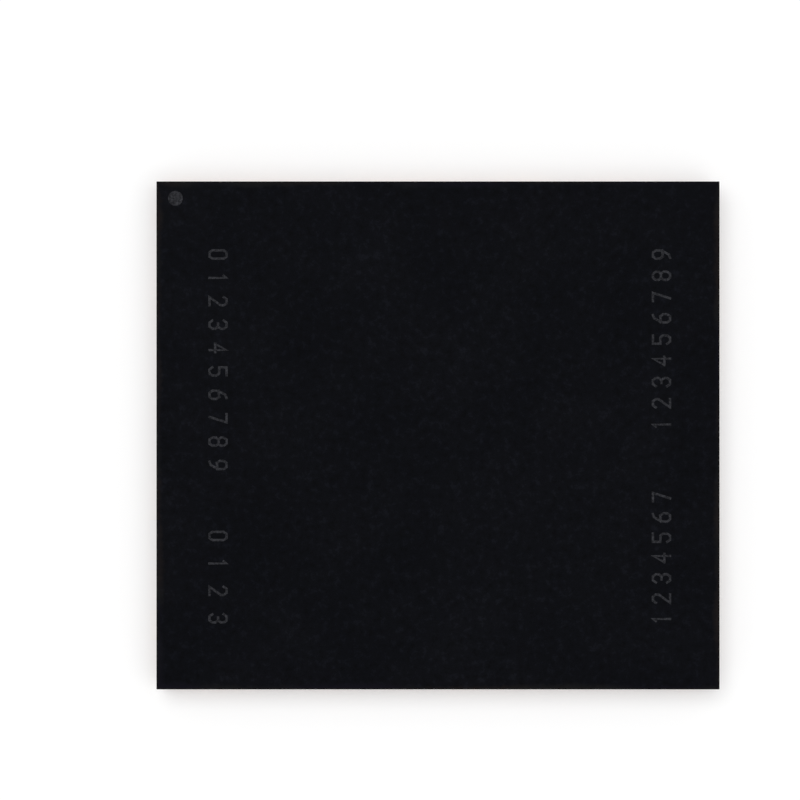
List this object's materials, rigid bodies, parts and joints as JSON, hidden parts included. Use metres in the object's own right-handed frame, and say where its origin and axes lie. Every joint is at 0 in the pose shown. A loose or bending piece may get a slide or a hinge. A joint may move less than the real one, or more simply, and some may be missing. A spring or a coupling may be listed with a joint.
{
  "type": "power management chip",
  "caption": "Flat bare-die chip on a full grid of solder balls, with copper under an amber film and a dark back coating; it routes and regulates supply power.",
  "frame": {"origin": "on the tips of the solder balls, under the middle of the die", "axes": "+X along the die's long side, from column 1 to column 22; +Y along its short side, towards ball row A; +Z from the balls to the coated back"},
  "size_m": [0.0078, 0.0072, 0.0005],
  "materials": {
    "solder": "satin",
    "pad_metal": "satin",
    "copper": "satin",
    "upper_film": "gloss",
    "lower_film": "gloss",
    "ring_metal": "satin",
    "test_metal": "satin",
    "wiring_glass": "gloss",
    "silicon": "satin",
    "coating": "satin"
  },
  "bodies": {
    "root": {"solder_balls_row_a": "solder", "solder_balls_row_b": "solder", "solder_balls_row_c": "solder", "solder_balls_row_d": "solder", "solder_balls_row_e": "solder", "solder_balls_row_f": "solder", "solder_balls_row_g": "solder", "solder_balls_row_h": "solder", "solder_balls_row_j": "solder", "solder_balls_row_k": "solder", "solder_balls_row_l": "solder", "solder_balls_row_m": "solder", "solder_balls_row_n": "solder", "solder_balls_row_p": "solder", "solder_balls_row_r": "solder", "solder_balls_row_t": "solder", "solder_balls_row_u": "solder", "solder_balls_row_v": "solder", "solder_balls_row_w": "solder", "solder_balls_row_y": "solder", "under_bump_pads": "pad_metal", "power_planes": "copper", "power_straps": "copper", "ball_lands": "copper", "signal_traces": "copper", "upper_polyimide": "upper_film", "lower_polyimide": "lower_film", "seal_ring": "ring_metal", "saw_lane_patches": "test_metal", "wiring_stack": "wiring_glass", "silicon_die": "silicon", "backside_coating": "coating"}
  },
  "joints": []
}
